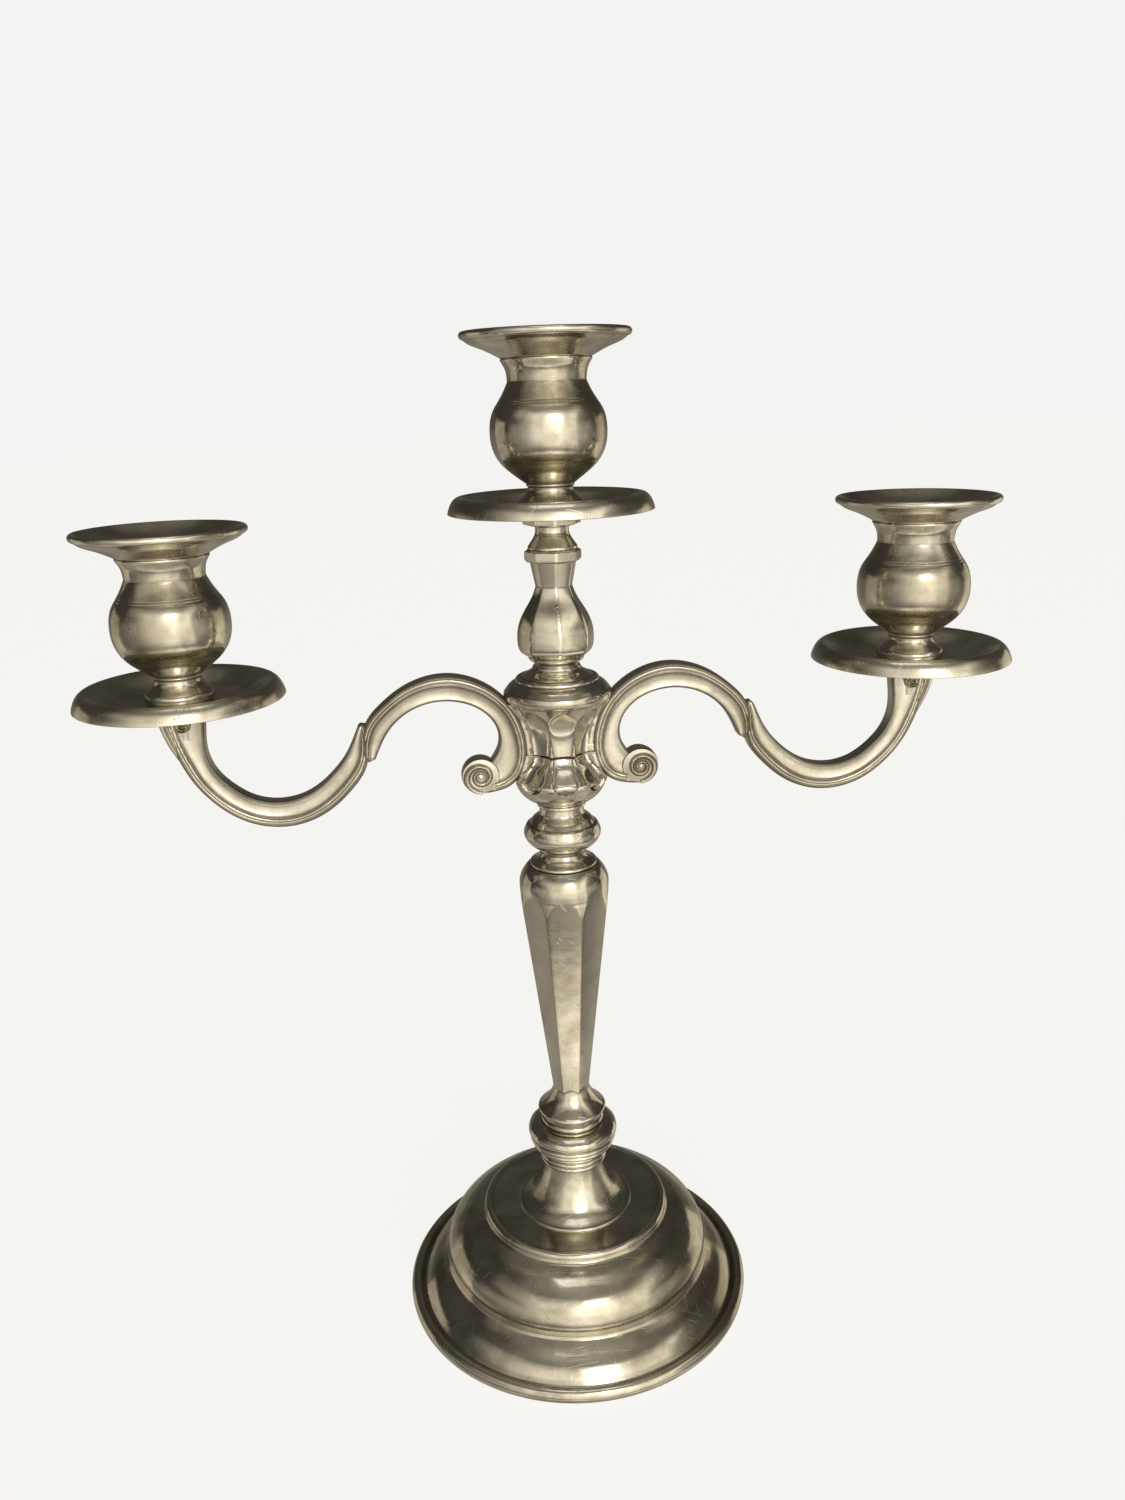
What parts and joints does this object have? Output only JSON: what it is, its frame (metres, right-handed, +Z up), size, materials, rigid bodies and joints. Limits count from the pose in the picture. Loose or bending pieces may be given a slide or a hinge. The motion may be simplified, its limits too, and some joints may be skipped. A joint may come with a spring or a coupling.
{
  "type": "candelabrum",
  "caption": "Branched table candelabrum in aged silver plate: weighted round foot, faceted stem, scrolled arms, dished drip pans and vase-shaped cups with lift-out flared nozzles.",
  "frame": {"origin": "on the table under the centre of the round foot", "axes": "+Z up the stem, +X along the arms, +Y away from the front"},
  "size_m": [0.3188, 0.132, 0.3572],
  "materials": {
    "base_silver": "aged silver plate, polished, brushed round",
    "stem_silver": "aged silver plate, polished",
    "cast_silver": "aged silver plate on a casting, satin",
    "pan_silver": "aged silver plate, tarnished",
    "cup_silver": "aged silver plate, brushed round",
    "steel": "plain steel",
    "steel_sheet": "plain sheet",
    "ballast_iron": "rough",
    "felt": "wool felt"
  },
  "bodies": {
    "root": {"felt_pad": "felt", "base_cover": "steel_sheet", "base_shell": "base_silver", "base_weight": "ballast_iron", "base_nut": "steel", "base_washer": "steel", "tie_rod": "steel", "pedestal": "base_silver", "lower_knop": "stem_silver", "column": "stem_silver", "ring_knop": "stem_silver", "hub_lower": "stem_silver", "hub_upper": "stem_silver", "hub_nut": "steel", "baluster": "stem_silver", "baluster_collar": "stem_silver", "pan_seat": "stem_silver", "top_rod": "steel", "arm_right": "cast_silver", "arm_left": "cast_silver", "arm_stud_right": "steel", "arm_stud_left": "steel", "pan_left": "pan_silver", "pan_centre": "pan_silver", "pan_right": "pan_silver"},
    "cup_left": {"cup_foot_left": "cup_silver", "cup_left": "cup_silver"},
    "nozzle_left": {"nozzle_left": "cup_silver"},
    "cup_centre": {"cup_foot_centre": "cup_silver", "cup_centre": "cup_silver"},
    "nozzle_centre": {"nozzle_centre": "cup_silver"},
    "cup_right": {"cup_foot_right": "cup_silver", "cup_right": "cup_silver"},
    "nozzle_right": {"nozzle_right": "cup_silver"}
  },
  "joints": [
    {"name": "cup_left_turn", "type": "hinge", "parent": "root", "child": "cup_left", "pos_m": [-0.1253, 0, 0.2436], "axis": [0, 0, 1], "continuous": true},
    {"name": "nozzle_left_lift", "type": "slide", "parent": "cup_left", "child": "nozzle_left", "axis": [0, 0, 1], "range_m": [0, 0.035]},
    {"name": "cup_centre_turn", "type": "hinge", "parent": "root", "child": "cup_centre", "pos_m": [0, 0, 0.2998], "axis": [0, 0, 1], "continuous": true},
    {"name": "nozzle_centre_lift", "type": "slide", "parent": "cup_centre", "child": "nozzle_centre", "axis": [0, 0, 1], "range_m": [0, 0.035]},
    {"name": "cup_right_turn", "type": "hinge", "parent": "root", "child": "cup_right", "pos_m": [0.1253, 0, 0.2436], "axis": [0, 0, 1], "continuous": true},
    {"name": "nozzle_right_lift", "type": "slide", "parent": "cup_right", "child": "nozzle_right", "axis": [0, 0, 1], "range_m": [0, 0.035]}
  ]
}
